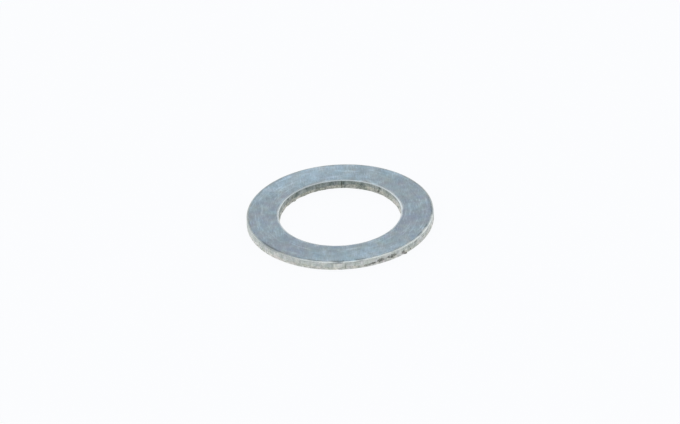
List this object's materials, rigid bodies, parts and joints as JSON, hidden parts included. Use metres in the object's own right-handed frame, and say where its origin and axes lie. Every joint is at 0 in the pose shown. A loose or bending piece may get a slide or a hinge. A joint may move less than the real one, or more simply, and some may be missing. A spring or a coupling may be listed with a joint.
{
  "type": "flat washer",
  "caption": "Plain flat washer: a thin ring blanked from plated steel strip, with rolled edges on its top face, that spreads the load of a nut, bolt head or pipe fitting.",
  "frame": {"origin": "centre of the washer's underside, on the surface it lies on", "axes": "+Z along the washer's axis, from the underside to the top face with the rolled edges; the washer is round, so +X and +Y have no features of their own"},
  "size_m": [0.032, 0.032, 0.0015],
  "materials": {
    "zinc_plated_steel": "bright zinc plating with a blue passivate, satin on the faces and dull on the torn walls"
  },
  "bodies": {
    "root": {"flat_washer": "zinc_plated_steel"}
  },
  "joints": []
}
